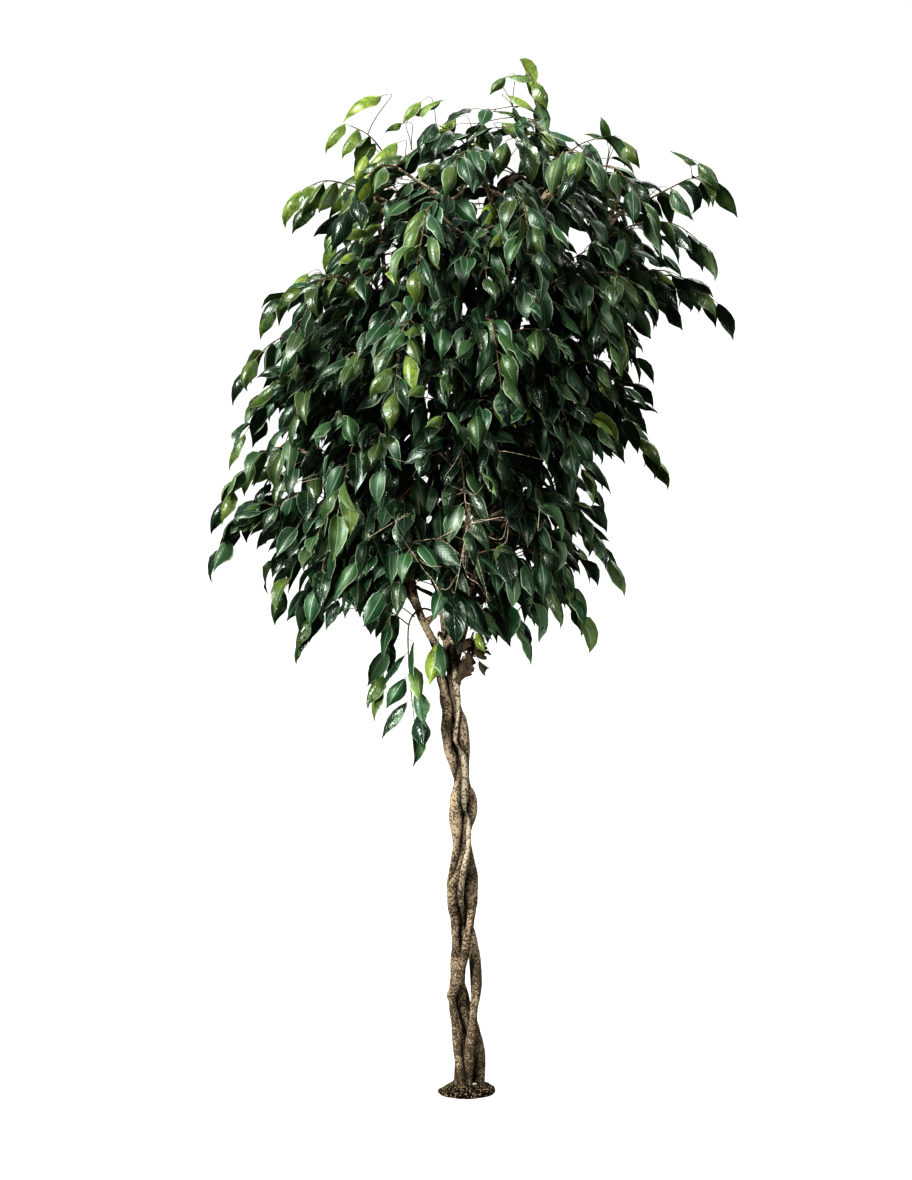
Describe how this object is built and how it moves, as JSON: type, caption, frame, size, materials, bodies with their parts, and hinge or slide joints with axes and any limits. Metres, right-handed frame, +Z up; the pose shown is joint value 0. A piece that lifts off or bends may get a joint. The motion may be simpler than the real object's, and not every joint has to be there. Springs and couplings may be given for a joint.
{
  "type": "weeping fig",
  "caption": "Tall weeping fig with plaited stems on a small pad of soil, under a dense crown of drooping, pointed glossy leaves.",
  "frame": {"origin": "centre of the flat underside of the soil pad", "axes": "+Z up along the trunk, the front of the plant towards -Y, +X to the right seen from the front"},
  "size_m": [0.9153, 0.6175, 1.8044],
  "materials": {
    "soil": "dark, damp, crumbly potting soil with pale grit",
    "bark": "tan smooth bark with small dark brown speckles",
    "pale_bark": "paler young bark with few speckles",
    "leaf": "glossy dark green leaf with a pale midrib and margin",
    "young_leaf": "soft yellow-green young leaf"
  },
  "bodies": {
    "root": {"soil": "soil", "spray_01": "young_leaf", "spray_02": "leaf", "spray_03": "leaf", "spray_04": "leaf", "spray_05": "leaf", "spray_06": "leaf", "spray_07": "leaf", "spray_08": "leaf", "spray_09": "leaf", "spray_10": "leaf", "spray_11": "leaf", "spray_12": "leaf", "spray_13": "leaf", "spray_14": "leaf", "spray_15": "leaf", "spray_16": "leaf", "spray_17": "leaf", "spray_18": "young_leaf", "spray_19": "young_leaf", "spray_20": "leaf", "spray_21": "leaf", "spray_22": "leaf", "spray_23": "leaf", "spray_24": "leaf", "spray_25": "leaf", "spray_26": "leaf", "spray_27": "leaf", "spray_28": "leaf", "spray_29": "leaf", "spray_30": "leaf", "spray_31": "leaf", "spray_32": "leaf", "spray_33": "leaf", "spray_34": "leaf", "spray_35": "leaf", "spray_36": "leaf", "spray_37": "leaf", "spray_38": "leaf", "spray_39": "leaf", "spray_40": "leaf", "spray_41": "leaf", "spray_42": "leaf", "spray_43": "leaf", "spray_44": "leaf", "spray_45": "leaf", "spray_46": "leaf", "spray_47": "leaf", "spray_48": "leaf", "spray_49": "leaf", "spray_50": "leaf", "spray_51": "leaf", "spray_52": "leaf", "spray_53": "leaf", "spray_54": "leaf", "spray_55": "leaf", "stem_1": "bark", "stem_2": "bark", "stem_3": "bark", "stem_4": "pale_bark"}
  },
  "joints": []
}
